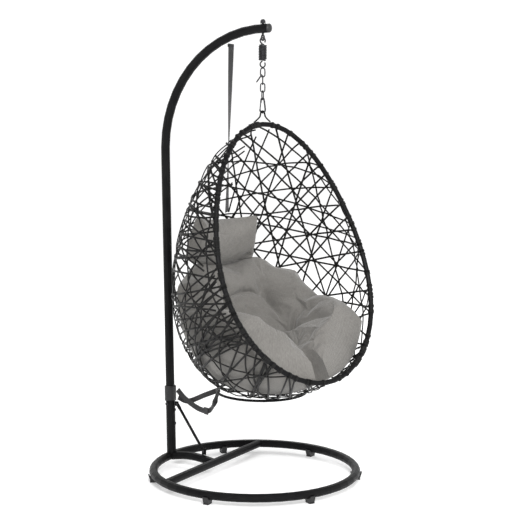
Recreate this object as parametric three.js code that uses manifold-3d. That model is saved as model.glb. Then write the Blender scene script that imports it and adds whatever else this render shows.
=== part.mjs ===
// Hanging egg chair: an arched steel stand on a floor ring, a coil spring and chain, and a woven
// basket with cushions. Millimetres, +Z up, the basket's mouth faces -Y, the stand's post is at +Y.
import * as THREE from 'three';
import { mergeVertices } from 'three/addons/utils/BufferGeometryUtils.js';
import Module from 'manifold-3d';

const wasm = await Module();
wasm.setup();

// ---------------------------------------------------------------- driving dimensions
const GAP = 0.3;                        // air left between pieces that touch
const RAD = Math.PI / 180;

const RING = { radius: 456, tube: 38, wall: 2, z: 39 };
const RING_COPE = 0.9;                  // how far pieces coped to the floor ring stop short of it
const FOOT = {
  width: 25, clear: 1.3, thick: 6, wrapHeight: 34, padWidth: 36, padHeight: 4,
  angles: [50, 130, 184.5, 242, 298, 355.5],
};
const CROSSBAR = { y: 215, tube: 36, wall: 2 };
const ARM = { tube: 38, wall: 2, rise: 13, start: 227, end: 446 };

const POST = { footY: 449, lean: 1.03, lowerTube: 43, upperTube: 40, wall: 2, jointZ: 370 };
const POST_BOLTS = { cross: [259, 195], lock: 288, washer: 2 };
const BRACE = { rod: 13, topY: 416, topZ: 288, bottomY: 273, bottomZ: 84, tab: 34, thick: 3.5, lug: 3 };
const ARCH = { y: -68.5, z: 1465.7, radius: 543, start: -1.03, end: 89.3 };

const HOOK_Y = -34;                     // the swing axis, under the arch's tip
const EYE = { ring: 11, wire: 8, z: 1967, shank: 10, washer: 26, nutWidth: 23 };

const SPRING = { coil: 30.5, wire: 6.5, top: 1938, bottom: 1869, turns: 10, hookRadius: 9 };
const LINK = { length: 44, width: 25, wire: 5.5, top: 1839 };
const LINK_TURNS = [-59.5, 30.5, -59.5, 10];
const SPARE = { along: -15, drop: -24.8, turn: 30.5, tilt: 35 };
const SNAP = { wire: 7.5, bottomRadius: 12.75, topRadius: 7, height: 71, turn: -85, gateTop: 30 };

const BASKET = {
  turn: -22.5,                          // stored swivelled a little to one side
  top: 1593, tilt: 23, length: 1161, halfWidth: 386, bow: 19,
  depth: 658, wrap: 27.4, dropTop: 14.7, dropBottom: 29.2, floor: 412,
  rimTube: 22, rod: 7, hoopRod: 12, shellInset: 8.4, shellWall: 4, splitZ: 960,
};
const HOOP = { radius: 200, z: 405 };   // the flat ring under the basket
const UPPER_HOOP = { rimT: 0.47, backT: 0.27 };
const LOOP = { rod: 7, halfSpan: 44, eye: 11 };

const SEAT = {
  frontT: 0.9975, inset: 22, fill: 0.4, edge: 0.12,
  // the pad's upper edge: degrees round from the middle of the back, and how far down the egg
  outline: [[0, 0.43], [25, 0.43], [38, 0.467], [54, 0.505], [61, 0.59], [66, 0.635],
    [79, 0.68], [90, 0.715], [98, 0.745], [110, 0.79]],
};
const SEAT_FOCUS = new THREE.Vector3(0, -120, 1050);
const PILLOW = { topT: 0.276, bottomT: 0.412, from: 69, to: 137, inset: 19, thick: 95, edge: 45 };

const STRAP = { width: 28, thick: 2, topY: 135, topZ: 1938, twist: 90 };
const TETHER = { width: 28, thick: 2, wrapLow: 304, wrapHigh: 369 };

// ---------------------------------------------------------------- materials
const steel = () => new THREE.MeshStandardMaterial({ color: 0x18181a, roughness: 0.42, metalness: 0.35 });
const zinc = () => new THREE.MeshStandardMaterial({ color: 0x2a2a2c, roughness: 0.32, metalness: 0.85 });
const plastic = () => new THREE.MeshStandardMaterial({ color: 0x141415, roughness: 0.6, metalness: 0 });
const rubber = () => new THREE.MeshStandardMaterial({ color: 0x101010, roughness: 0.85, metalness: 0 });
const wicker = () => new THREE.MeshStandardMaterial({ color: 0x1c1b1b, roughness: 0.5, metalness: 0 });
const cloth = () => new THREE.MeshStandardMaterial({ color: 0x8c8781, roughness: 0.95, metalness: 0 });
const webbing = () => new THREE.MeshStandardMaterial({ color: 0x131314, roughness: 0.8, metalness: 0 });

// ---------------------------------------------------------------- small geometry tools
const v3 = (x, y, z) => new THREE.Vector3(x, y, z);

class FormulaCurve extends THREE.Curve {
  constructor(formula) {
    super();
    this.formula = formula;
  }

  getPoint(t, target = new THREE.Vector3()) {
    return target.copy(this.formula(t));
  }
}

function welded(geometry) {
  geometry.deleteAttribute('normal');
  geometry.deleteAttribute('uv');
  return mergeVertices(geometry, 1e-4);
}

function signedVolume(geometry) {
  const p = geometry.attributes.position;
  const corner = [0, 1, 2].map(() => v3(0, 0, 0));
  let sum = 0;
  for (let i = 0; i < geometry.index.count; i += 3) {
    corner.forEach((c, k) => c.fromBufferAttribute(p, geometry.index.getX(i + k)));
    sum += corner[0].dot(corner[1].clone().cross(corner[2]));
  }
  return sum / 6;
}

// A closed three.js shape with every vertex moved by a function, its faces kept pointing out.
function mapped(geometry, move) {
  const result = welded(geometry);
  const p = result.attributes.position;
  const at = v3(0, 0, 0);
  for (let i = 0; i < p.count; i += 1) {
    at.fromBufferAttribute(p, i);
    const to = move(at);
    p.setXYZ(i, to.x, to.y, to.z);
  }
  if (signedVolume(result) < 0) result.index.array.reverse();
  result.computeVertexNormals();
  return result;
}

function solid(geometry) {
  const g = welded(geometry.index ? geometry.clone() : mergeVertices(geometry));
  return new wasm.Manifold(new wasm.Mesh({
    numProp: 3,
    vertProperties: new Float32Array(g.attributes.position.array),
    triVerts: new Uint32Array(g.index.array),
  }));
}

function geometryOf(body) {
  const mesh = body.getMesh();
  const g = new THREE.BufferGeometry();
  g.setAttribute('position', new THREE.BufferAttribute(new Float32Array(mesh.vertProperties), 3));
  g.setIndex(new THREE.BufferAttribute(new Uint32Array(mesh.triVerts), 1));
  g.computeVertexNormals();
  return g;
}

function disc(radius, holeRadius = 0) {
  const shape = new THREE.Shape();
  shape.absarc(0, 0, radius, 0, 2 * Math.PI, false);
  if (holeRadius > 0) {
    const hole = new THREE.Path();
    hole.absarc(0, 0, holeRadius, 0, 2 * Math.PI, true);
    shape.holes.push(hole);
  }
  return shape;
}

function sweep(curve, radius, steps, sides = 12, holeRadius = 0) {
  const options = { steps, extrudePath: curve, curveSegments: sides / 2 };
  return new THREE.ExtrudeGeometry(disc(radius, holeRadius), options);
}

const hollow = (curve, tube, wall, steps, sides) => sweep(curve, tube / 2, steps, sides, tube / 2 - wall);

function lathe(profile, sides = 12) {
  return new THREE.LatheGeometry(profile.map((p) => new THREE.Vector2(...p)), sides);
}

const straight = (from, to) => new THREE.LineCurve3(from, to);
const smooth = (points) => new THREE.CatmullRomCurve3(points, false, 'centripetal');

// A rod of the given radius from one point to another, used for holes and pins.
const rodBetween = (from, to, radius, sides = 12) => sweep(straight(from, to), radius, 1, sides);

// A tube along a closed curve: a torus whose middle line is laid on ring(turn), turn from 0 to 1.
function closedTube(ring, radius, around, sides) {
  const big = 10 * radius;
  return mapped(new THREE.TorusGeometry(big, radius, sides, around), (p) => {
    const turn = (Math.atan2(p.y, p.x) / (2 * Math.PI) + 1) % 1;
    const ahead = ring((turn + 0.001) % 1).clone().sub(ring((turn + 0.999) % 1)).normalize();
    const centre = ring(turn);
    const side = ring.axis.clone().cross(ahead).negate().normalize();
    const up = ahead.clone().cross(side).negate();
    return centre.clone().addScaledVector(side, Math.hypot(p.x, p.y) - big).addScaledVector(up, p.z);
  });
}

// A flat strap: a box bent along a path, its width turned with the path.
function ribbon(path, widthAt, width, thick, steps) {
  return mapped(new THREE.BoxGeometry(1, 1, 1, 1, 1, steps), (p) => {
    const s = p.z + 0.5;
    const ahead = path.getTangentAt(s);
    const side = widthAt(s).clone().projectOnPlane(ahead).normalize();
    const up = ahead.clone().cross(side);
    return path.getPointAt(s).addScaledVector(side, p.x * width).addScaledVector(up, p.y * thick);
  });
}

function add(parent, name, geometry, material) {
  const mesh = new THREE.Mesh(geometry, material);
  mesh.name = name;
  parent.add(mesh);
  return mesh;
}

// ---------------------------------------------------------------- floor ring, feet, crossbar, arm
const ringTube = (radius) => new THREE.TorusGeometry(RING.radius, radius, 16, 48).translate(0, 0, RING.z);

function addFloorRing(stand) {
  const seam = (GAP / 2) / RING.radius;
  ['base_ring_front', 'base_ring_rear'].forEach((name, i) => {
    const start = Math.PI * (1 - i) + seam;
    const half = new FormulaCurve((t) => {
      const a = start + t * (Math.PI - 2 * seam);
      return v3(RING.radius * Math.cos(a), RING.radius * Math.sin(a), RING.z);
    });
    add(stand, name, hollow(half, RING.tube, RING.wall, 24, 12), steel());
  });
}

function saddleGeometry() {
  const r = RING.tube / 2 + FOOT.clear;
  const low = FOOT.padHeight + GAP - RING.z;
  const top = FOOT.wrapHeight - RING.z;
  const reach = r + FOOT.thick;
  const start = Math.asin(top / r);
  const shape = new THREE.Shape();
  shape.moveTo(-reach, top);
  shape.lineTo(-reach * 0.62, low);
  shape.lineTo(reach * 0.62, low);
  shape.lineTo(reach, top);
  shape.absarc(0, 0, r, start, -Math.PI - start, true);
  const g = new THREE.ExtrudeGeometry(shape, { depth: FOOT.width, bevelEnabled: false, curveSegments: 10 });
  return g.rotateX(Math.PI / 2).translate(0, FOOT.width / 2, RING.z);
}

function addFeet(stand) {
  FOOT.angles.forEach((angle, i) => {
    const foot = new THREE.Group();
    foot.position.set(RING.radius * Math.cos(angle * RAD), RING.radius * Math.sin(angle * RAD), 0);
    foot.rotation.z = angle * RAD;
    stand.add(foot);
    add(foot, `foot_saddle_${i + 1}`, saddleGeometry(), plastic());
    const pad = new THREE.BoxGeometry(FOOT.padWidth, FOOT.width, FOOT.padHeight);
    add(foot, `foot_pad_${i + 1}`, pad, rubber()).position.z = FOOT.padHeight / 2;
  });
}

function addFloorBars(stand) {
  const half = Math.sqrt(RING.radius ** 2 - CROSSBAR.y ** 2);
  const bar = straight(v3(-half, CROSSBAR.y, RING.z), v3(half, CROSSBAR.y, RING.z));
  const ringCut = solid(ringTube(RING.tube / 2 + RING_COPE));
  const crossbar = solid(hollow(bar, CROSSBAR.tube, CROSSBAR.wall, 1, 12)).subtract(ringCut);
  add(stand, 'base_crossbar', geometryOf(crossbar), steel());

  const bend = new FormulaCurve((t) => v3(
    0, ARM.start + t * (ARM.end - ARM.start), RING.z + ARM.rise * Math.sin(Math.PI * t),
  ));
  const barCut = solid(sweep(bar, CROSSBAR.tube / 2 + GAP, 1, 12));
  const arm = solid(hollow(bend, ARM.tube, ARM.wall, 8, 12)).subtract(ringCut).subtract(barCut);
  add(stand, 'base_arm', geometryOf(arm), steel());
}

// ---------------------------------------------------------------- post, arch, brace
const postY = (z) => POST.footY + (z - RING.z) * Math.tan(POST.lean * RAD);
const postPoint = (z) => v3(0, postY(z), z);

function archPoint(angle) {
  return v3(0, ARCH.y + ARCH.radius * Math.cos(angle * RAD), ARCH.z + ARCH.radius * Math.sin(angle * RAD));
}

// The upper tube: straight up the post, then round the arch to its tip.
function upperPath() {
  const bend = postPoint(ARCH.z + ARCH.radius * Math.sin(ARCH.start * RAD));
  const foot = postPoint(POST.jointZ + GAP);
  const straightLength = bend.distanceTo(foot);
  const arcLength = ARCH.radius * (ARCH.end - ARCH.start) * RAD;
  const share = straightLength / (straightLength + arcLength);
  return new FormulaCurve((t) => {
    if (t < share) return foot.clone().lerp(bend, t / share);
    return archPoint(ARCH.start + ((t - share) / (1 - share)) * (ARCH.end - ARCH.start));
  });
}

function addPost(stand) {
  const ringCut = solid(ringTube(RING.tube / 2 + RING_COPE));
  const armLine = straight(v3(0, CROSSBAR.y, RING.z), v3(0, RING.radius, RING.z + 2));
  const armCut = solid(sweep(armLine, ARM.tube / 2 + 3, 1));
  const lowerLine = straight(postPoint(RING.z), postPoint(POST.jointZ));
  const lowerTube = solid(hollow(lowerLine, POST.lowerTube, POST.wall, 1, 16));
  const lower = lowerTube.subtract(ringCut).subtract(armCut);
  add(stand, 'lower_post', geometryOf(lower), steel());

  const eyeHole = solid(rodBetween(v3(0, HOOK_Y, 1900), v3(0, HOOK_Y, 2100), EYE.shank / 2 + GAP));
  const upper = solid(hollow(upperPath(), POST.upperTube, POST.wall, 30, 12)).subtract(eyeHole);
  add(stand, 'post_and_arch', geometryOf(upper), steel());

  const r = POST.upperTube / 2;
  const dome = lathe([[0, 0], [r, 0], [r, 4], [r * 0.86, 8], [r * 0.5, 11], [0, 12]], 16);
  const cap = add(stand, 'arch_end_cap', dome, plastic());
  cap.position.copy(archPoint(ARCH.end));
  cap.position.y -= GAP;
  cap.rotation.x = (90 + ARCH.end) * RAD;
}

// A round-headed bolt with its shank along local -Z, and a nut of the same height.
function boltGeometry(head, shank, length) {
  const h = head * 0.35;
  return lathe([
    [0, -length], [shank, -length], [shank, 0], [head, 0], [head, h * 0.5], [head * 0.6, h], [0, h],
  ]).rotateX(Math.PI / 2);
}

// The diagonal brace: a rod flattened at its ends, each bolted beside a lug on the post or the arm.
function addBrace(stand) {
  const top = v3(0, BRACE.topY, BRACE.topZ);
  const bottom = v3(0, BRACE.bottomY, BRACE.bottomZ);
  const along = top.clone().sub(bottom).normalize();
  const tab = (end, sign) => new THREE.BoxGeometry(BRACE.thick, BRACE.rod + 3, BRACE.tab)
    .rotateX(Math.atan2(-along.y, along.z))
    .translate(end.x, end.y + along.y * sign * 8, end.z + along.z * sign * 8);
  const from = bottom.clone().addScaledVector(along, 20);
  const to = top.clone().addScaledVector(along, -20);
  const rod = solid(sweep(straight(from, to), BRACE.rod / 2, 1, 10));
  add(stand, 'brace_rod', geometryOf(rod.add(solid(tab(bottom, 1))).add(solid(tab(top, -1)))), steel());

  const lugX = BRACE.thick / 2 + BRACE.lug / 2 + GAP;
  const upperLug = add(stand, 'brace_lug_upper', new THREE.BoxGeometry(BRACE.lug, 18, 22), steel());
  upperLug.position.set(lugX, top.y + 5.5, top.z);
  const lowerLug = add(stand, 'brace_lug_lower', new THREE.BoxGeometry(BRACE.lug, 22, 28), steel());
  lowerLug.position.set(lugX, bottom.y, bottom.z - 3);
  [top, bottom].forEach((end, i) => {
    const bolt = add(stand, `brace_bolt_${i + 1}`, boltGeometry(6, 3, 2), zinc());
    bolt.position.set(-BRACE.thick / 2 - 2 - GAP, end.y, end.z);
    bolt.rotation.y = -Math.PI / 2;
  });
}

function addPostBolts(stand) {
  const out = POST.lowerTube / 2 + POST_BOLTS.washer + 2 * GAP;
  POST_BOLTS.cross.forEach((z, i) => {
    const bolt = add(stand, `post_bolt_${i + 1}`, boltGeometry(7, 3.5, POST_BOLTS.washer), zinc());
    bolt.position.set(0, postY(z) - out, z);
    bolt.rotation.x = Math.PI / 2;
  });
  const lock = add(stand, 'post_lock_bolt', boltGeometry(8, 4, POST_BOLTS.washer), zinc());
  lock.position.set(-out - GAP, postY(POST_BOLTS.lock) + 4, POST_BOLTS.lock);
  lock.rotation.y = -Math.PI / 2;
}

// ---------------------------------------------------------------- eye bolt, spring, chain, snap hook
function addEyeBolt(stand) {
  const tubeTop = archPoint(Math.acos((HOOK_Y - ARCH.y) / ARCH.radius) / RAD).z + POST.upperTube / 2;
  const ring = new THREE.TorusGeometry(EYE.ring, EYE.wire / 2, 8, 20).rotateX(Math.PI / 2);
  ring.translate(0, HOOK_Y, EYE.z);
  const shank = rodBetween(v3(0, HOOK_Y, EYE.z + EYE.ring), v3(0, HOOK_Y, tubeTop + 6), EYE.shank / 2);
  const bolt = solid(ring).add(solid(shank));
  add(stand, 'eye_bolt', geometryOf(bolt), zinc());

  const bore = EYE.shank / 2 + GAP;
  const washer = new THREE.ExtrudeGeometry(disc(EYE.washer / 2, bore), { depth: 2, bevelEnabled: false });
  add(stand, 'eye_washer', washer, zinc()).position.set(0, HOOK_Y, tubeTop + GAP + 0.4);

  const r = EYE.nutWidth / 2;
  const dome = lathe([
    [0, 8], [bore, 8], [bore, 0], [r, 0], [r, 7], [r * 0.82, 12], [r * 0.5, 15.5], [0, 17],
  ]).rotateX(Math.PI / 2);
  add(stand, 'eye_cap_nut', dome, zinc()).position.set(0, HOOK_Y, tubeTop + 2 * GAP + 2.4);
}

function springPoints() {
  const r = SPRING.coil / 2;
  const k = SPRING.hookRadius;
  const topCentre = EYE.z - EYE.ring + EYE.wire / 2 + SPRING.wire / 2 + GAP - k;
  const points = [];
  for (let a = -30; a <= 180; a += 30) {
    points.push(v3(0, -k * Math.cos(a * RAD), topCentre + k * Math.sin(a * RAD)));
  }
  points.push(v3(0, k, SPRING.top + 9), v3(0, k + 1.5, SPRING.top + 5));
  const perTurn = 10;
  const pitch = (SPRING.top - SPRING.bottom - SPRING.wire) / SPRING.turns;
  for (let i = 1; i <= SPRING.turns * perTurn - 1; i += 1) {
    const a = (90 + (360 * i) / perTurn) * RAD;
    const z = SPRING.top - SPRING.wire / 2 - (i / perTurn) * pitch;
    points.push(v3(r * Math.cos(a), r * Math.sin(a), z));
  }
  const low = LINK.top - LINK.wire - SPRING.wire / 2 - GAP;
  const bottomRadius = 8;
  const turn = LINK_TURNS[0] * RAD + Math.PI / 2;
  points.push(v3(0, r - 2, SPRING.bottom - 3));
  for (let a = 0; a >= -210; a -= 30) {
    const out = bottomRadius * Math.cos(a * RAD);
    const z = low + bottomRadius + bottomRadius * Math.sin(a * RAD);
    points.push(v3(out * Math.cos(turn), out * Math.sin(turn), z));
  }
  return points.map((p) => p.add(v3(0, HOOK_Y, 0)));
}

function addSpring(hanging) {
  const path = new THREE.CatmullRomCurve3(springPoints(), false, 'centripetal');
  path.arcLengthDivisions = 1200;
  add(hanging, 'hanging_spring', sweep(path, SPRING.wire / 2 - 0.15, 140, 6), zinc());
}

function linkGeometry() {
  const r = (LINK.width - LINK.wire) / 2;
  const half = (LINK.length - LINK.width) / 2;
  const stretch = (y) => (Math.abs(y) < 1e-3 ? y : y + half * Math.sign(y));
  return mapped(new THREE.TorusGeometry(r, LINK.wire / 2, 8, 16), (p) => v3(p.x, -p.z, stretch(p.y)));
}

const linkPitch = LINK.length - 2 * LINK.wire - GAP;
const linkCentre = (i) => LINK.top - i * linkPitch - LINK.length / 2;

function addChain(hanging) {
  LINK_TURNS.forEach((turn, i) => {
    const link = add(hanging, `chain_link_${i + 1}`, linkGeometry(), zinc());
    link.position.set(0, HOOK_Y, linkCentre(i));
    link.rotation.z = turn * RAD;
  });
  const spare = add(hanging, 'spare_chain_link', linkGeometry(), zinc());
  const across = v3(1, 0, 0).applyAxisAngle(v3(0, 0, 1), LINK_TURNS[0] * RAD);
  spare.rotation.set(SPARE.tilt * RAD, 0, SPARE.turn * RAD, 'ZXY');
  spare.position.set(0, HOOK_Y, linkCentre(0) + SPARE.drop).addScaledVector(across, SPARE.along);
}

const snapTop = linkCentre(LINK_TURNS.length - 1) - LINK.length / 2 + LINK.wire + SNAP.wire + GAP;
const snapBottom = snapTop - SNAP.height;

function snapPoints() {
  const low = snapBottom + SNAP.wire / 2 + SNAP.bottomRadius;
  const high = snapTop - SNAP.wire / 2 - SNAP.topRadius;
  const arc = (r, z, from, to, n) => [...Array(n + 1).keys()].map((i) => {
    const a = (from + ((to - from) * i) / n) * RAD;
    return v3(r * Math.cos(a), 0, z + r * Math.sin(a));
  });
  const start = v3(-8.8, 0, low + SNAP.gateTop);
  return [start, ...arc(SNAP.topRadius, high, 172, -2, 7), ...arc(SNAP.bottomRadius, low, 0, -190, 9)];
}

function addSnapHook(hanging) {
  const hook = new THREE.Group();
  hook.position.y = HOOK_Y;
  hook.rotation.z = SNAP.turn * RAD;
  hanging.add(hook);
  const low = snapBottom + SNAP.wire / 2 + SNAP.bottomRadius;
  add(hook, 'snap_hook_body', sweep(smooth(snapPoints()), SNAP.wire / 2, 34, 8), zinc());
  const gate = sweep(straight(v3(-9, 0, low + SNAP.gateTop - 0.8), v3(-12.3, 0, low + 2.9)), 2.6, 1, 8);
  add(hook, 'snap_hook_gate', gate, zinc());
}

// ---------------------------------------------------------------- the basket's egg surface
const rimHalfWidth = (t) => BASKET.halfWidth * Math.sqrt(4 * t * (1 - t))
  * (1 + 0.312 * (t - 0.5) - 0.64 * (t - 0.5) ** 3);
const depthShape = (t) => t ** 0.927 * (1 - t) ** 0.403;
const depthAt = (t) => (BASKET.depth * depthShape(t)) / depthShape(0.697);

function rimMiddle(t) {
  const s = BASKET.length * t;
  const tilt = BASKET.tilt * RAD;
  const bow = BASKET.bow * (rimHalfWidth(t) / BASKET.halfWidth) ** 2;
  const y = bow * Math.cos(tilt) - s * Math.sin(tilt);
  const z = BASKET.top - s * Math.cos(tilt) - bow * Math.sin(tilt);
  return v3(0, y, z);
}

// A point of the egg: t runs down the mouth from top to bottom, phi round the back from the right
// side of the mouth (-wrap) to its left side (180 + wrap), 90 being the middle of the back.
function rawEggPoint(t, phi) {
  const wrap = BASKET.wrap * RAD;
  const drop = (BASKET.dropTop + (BASKET.dropBottom - BASKET.dropTop) * t) * RAD;
  const back = (depthAt(t) * (Math.sin(wrap) + Math.sin(phi * RAD))) / (1 + Math.sin(wrap));
  const point = rimMiddle(t);
  point.x = (rimHalfWidth(t) * Math.cos(phi * RAD)) / Math.cos(wrap);
  point.y += back * Math.cos(drop);
  point.z -= back * Math.sin(drop);
  return point;
}

function eggNormal(t, phi) {
  const at = THREE.MathUtils.clamp(t, 0.012, 0.988);
  const down = rawEggPoint(at + 0.004, phi).sub(rawEggPoint(at - 0.004, phi));
  const round = rawEggPoint(at, phi + 1).sub(rawEggPoint(at, phi - 1));
  return round.cross(down).negate().normalize();
}

function eggPoint(t, phi, inset = 0) {
  const point = rawEggPoint(t, phi).addScaledVector(eggNormal(t, phi), -inset);
  point.z = Math.max(point.z, BASKET.floor + inset);
  return point;
}

// The egg as a closed solid, its mouth closed by a face pushed out of the rim's plane by front.
function eggSolid(inset, front) {
  const tilt = BASKET.tilt * RAD;
  const out = v3(0, -Math.cos(tilt), Math.sin(tilt));
  const backShare = 0.75;
  return solid(mapped(new THREE.SphereGeometry(1, 32, 24), (p) => {
    const u = (Math.atan2(p.z, -p.x) / (2 * Math.PI) + 1) % 1;
    const v = Math.acos(THREE.MathUtils.clamp(p.y, -1, 1)) / Math.PI;
    const t = (1 - Math.cos(Math.PI * THREE.MathUtils.clamp(v, 0.02, 0.98))) / 2;
    const pole = v < 0.001 || v > 0.999;
    if (u <= backShare + 1e-6 && !pole) {
      const point = eggPoint(t, -BASKET.wrap + (180 + 2 * BASKET.wrap) * (u / backShare), inset);
      const ahead = point.clone().sub(rimMiddle(t)).dot(out);
      return front < 0 ? point.addScaledVector(out, Math.min(0, front - ahead)) : point;
    }
    const side = pole ? 0 : ((u - backShare) / (1 - backShare)) * 2 - 1;
    const point = rimMiddle(t).addScaledVector(out, front);
    point.x = side * (rimHalfWidth(t) - inset);
    return point;
  }));
}

function addBasketFrame(basket) {
  const rim = (turn) => {
    const t = (1 - Math.cos(2 * Math.PI * turn)) / 2;
    const point = rimMiddle(t);
    point.x = rimHalfWidth(t) * (turn < 0.5 ? 1 : -1);
    return point;
  };
  rim.axis = v3(0, -Math.cos(BASKET.tilt * RAD), Math.sin(BASKET.tilt * RAD));
  add(basket, 'basket_rim', closedTube(rim, BASKET.rimTube / 2, 56, 10), wicker());

  const hoop = (turn) => v3(HOOP.radius, 0, HOOP.z).applyAxisAngle(v3(0, 0, 1), 2 * Math.PI * turn);
  hoop.axis = v3(0, 0, 1);
  add(basket, 'base_hoop', closedTube(hoop, BASKET.hoopRod / 2, 32, 8), wicker());

  const wrap = BASKET.wrap;
  const rodInset = BASKET.rod / 2;
  const upper = new FormulaCurve((s) => {
    const phi = -wrap + 5 + (170 + 2 * wrap) * s;
    const share = (Math.sin(phi * RAD) + Math.sin(wrap * RAD)) / (1 + Math.sin(wrap * RAD));
    return eggPoint(THREE.MathUtils.lerp(UPPER_HOOP.rimT, UPPER_HOOP.backT, share), phi, rodInset);
  });
  add(basket, 'upper_hoop', sweep(upper, rodInset, 22, 6), wicker());

  const clear = 0.006;
  const spine = (t) => eggPoint(t, 90, rodInset);
  const topSpine = new FormulaCurve((s) => spine(0.035 + (UPPER_HOOP.backT - clear - 0.035) * s));
  add(basket, 'spine_rod_upper', sweep(topSpine, rodInset, 8, 6), wicker());
  const rear = v3(0, HOOP.radius, HOOP.z + BASKET.hoopRod / 2 + 1);
  const lowSpine = smooth([UPPER_HOOP.backT + clear, 0.36, 0.46, 0.56, 0.66, 0.74].map(spine).concat(rear));
  add(basket, 'spine_rod_lower', sweep(lowSpine, rodInset, 16, 6), wicker());
  const front = v3(0, -HOOP.radius - BASKET.hoopRod / 2 - 4, HOOP.z);
  const rimBottom = rimMiddle(1).add(v3(0, 9, -15));
  const frontSpine = smooth([front, ...[0.991, 0.995, 0.998].map(spine), rimBottom]);
  add(basket, 'spine_rod_front', sweep(frontSpine, rodInset, 8, 6), wicker());
}

function addHangingLoop(basket) {
  const apex = snapBottom + SNAP.wire + LOOP.rod / 2 + GAP;
  const foot = BASKET.top + BASKET.rimTube / 2 + LOOP.rod / 2;
  const side = (s) => [
    v3(s * LOOP.halfSpan, 3, foot - 5), v3(s * LOOP.halfSpan * 0.62, 1.5, foot + 7),
    v3(s * 14, 0, foot + 20), v3(s * LOOP.eye, 0, apex - LOOP.eye),
    v3(s * LOOP.eye * 0.7, 0, apex - LOOP.eye * 0.3),
  ];
  const path = smooth([...side(-1), v3(0, 0, apex), ...side(1).reverse()]);
  const rimCut = rimCutter(0.3);
  add(basket, 'hanging_loop', geometryOf(solid(sweep(path, LOOP.rod / 2, 28, 8)).subtract(rimCut)), steel());
}

// A slightly fatter copy of the rim's top stretch, which the loop's feet are coped to.
function rimCutter(extra) {
  const path = new FormulaCurve((s) => {
    const turn = (s - 0.5) * 0.2;
    const t = (1 - Math.cos(2 * Math.PI * turn)) / 2;
    const point = rimMiddle(t);
    point.x = rimHalfWidth(t) * Math.sign(turn);
    return point;
  });
  return solid(sweep(path, BASKET.rimTube / 2 + extra + 0.4, 16, 12));
}

// The woven wall in four panels, split down the middle of the back and once across it.
function addWeave(basket) {
  const outer = eggSolid(BASKET.shellInset, -(BASKET.rimTube / 2 + 2));
  const inner = eggSolid(BASKET.shellInset + BASKET.shellWall, 120);
  const wall = outer.subtract(inner);
  const size = 2 * BASKET.length;
  ['right', 'left'].forEach((sideName, i) => {
    ['upper', 'lower'].forEach((levelName, k) => {
      const x = (1 - 2 * i) * (size / 2 + GAP / 2);
      const z = BASKET.splitZ + (1 - 2 * k) * (size / 2 + GAP / 2);
      const quarter = solid(new THREE.BoxGeometry(size, size, size).translate(x, 0, z));
      add(basket, `weave_${levelName}_${sideName}`, geometryOf(wall.intersect(quarter)), wicker());
    });
  });
}

// ---------------------------------------------------------------- cushions
// A pad laid on the inside of the egg. toT and toPhi give where u and v (0 to 1) land, thickness
// moves the top face towards the room inside.
function padOnEgg(columns, rows, place, lift, inset) {
  return mapped(new THREE.BoxGeometry(1, 1, 1, columns, 1, rows), (p) => {
    const { t, phi } = place(p.x + 0.5, p.z + 0.5);
    const base = eggPoint(t, phi, inset);
    return p.y < 0 ? base : lift(base, t, phi, p.x + 0.5, p.z + 0.5);
  });
}

const crown = (u, v, edge) => edge + (1 - edge) * (Math.sin(Math.PI * u) * Math.sin(Math.PI * v)) ** 0.35;

function seatTop(phi) {
  const turn = Math.abs(phi - 90);
  const next = Math.max(1, SEAT.outline.findIndex(([angle]) => angle >= turn));
  const [[a, from], [b, to]] = SEAT.outline.slice(next - 1, next + 1);
  return THREE.MathUtils.mapLinear(turn, a, b, from, to);
}

function addSeatCushion(basket) {
  const place = (u, v) => {
    const phi = -BASKET.wrap + 5.5 + (169 + 2 * BASKET.wrap) * u;
    return { t: THREE.MathUtils.lerp(seatTop(phi), SEAT.frontT, 1 - (1 - v) ** 2.2), phi };
  };
  const lift = (base, t, phi, u, v) => base.lerp(SEAT_FOCUS, SEAT.fill * crown(u, v, SEAT.edge));
  add(basket, 'seat_cushion', padOnEgg(26, 16, place, lift, SEAT.inset), cloth());
}

function addHeadPillow(basket) {
  const place = (u, v) => ({
    t: PILLOW.topT + (PILLOW.bottomT - PILLOW.topT) * v,
    phi: PILLOW.from + (PILLOW.to - PILLOW.from) * u,
  });
  const lift = (base, t, phi, u, v) => {
    const thick = PILLOW.edge + (PILLOW.thick - PILLOW.edge) * crown(u, v, 0);
    return base.addScaledVector(eggNormal(t, phi), -thick);
  };
  add(basket, 'head_pillow', padOnEgg(8, 8, place, lift, PILLOW.inset), cloth());
}

// ---------------------------------------------------------------- straps
function basketToRow(point) {
  return point.clone().applyAxisAngle(v3(0, 0, 1), BASKET.turn * RAD).add(v3(0, HOOK_Y, 0));
}

function addStraps(stand) {
  const hoopBack = basketToRow(eggPoint(UPPER_HOOP.backT, 90, -6));
  const top = v3(0, STRAP.topY, STRAP.topZ);
  const drop = straight(top, hoopBack.add(v3(0, 0, 4)));
  const turned = (s) => v3(0, 1, 0).applyAxisAngle(v3(0, 0, 1), -STRAP.twist * s * RAD);
  add(stand, 'safety_strap', ribbon(drop, turned, STRAP.width, STRAP.thick, 16), webbing());

  const lug = add(stand, 'strap_lug', new THREE.BoxGeometry(3, 24, 14), steel());
  lug.position.set(STRAP.thick / 2 + GAP + 3.3, STRAP.topY, STRAP.topZ - 7);
  const rivet = add(stand, 'strap_rivet', boltGeometry(5, 2, 0.2), zinc());
  rivet.position.set(-STRAP.thick / 2 - GAP - 0.4, STRAP.topY, STRAP.topZ - 7);
  rivet.rotation.y = -Math.PI / 2;
}

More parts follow.
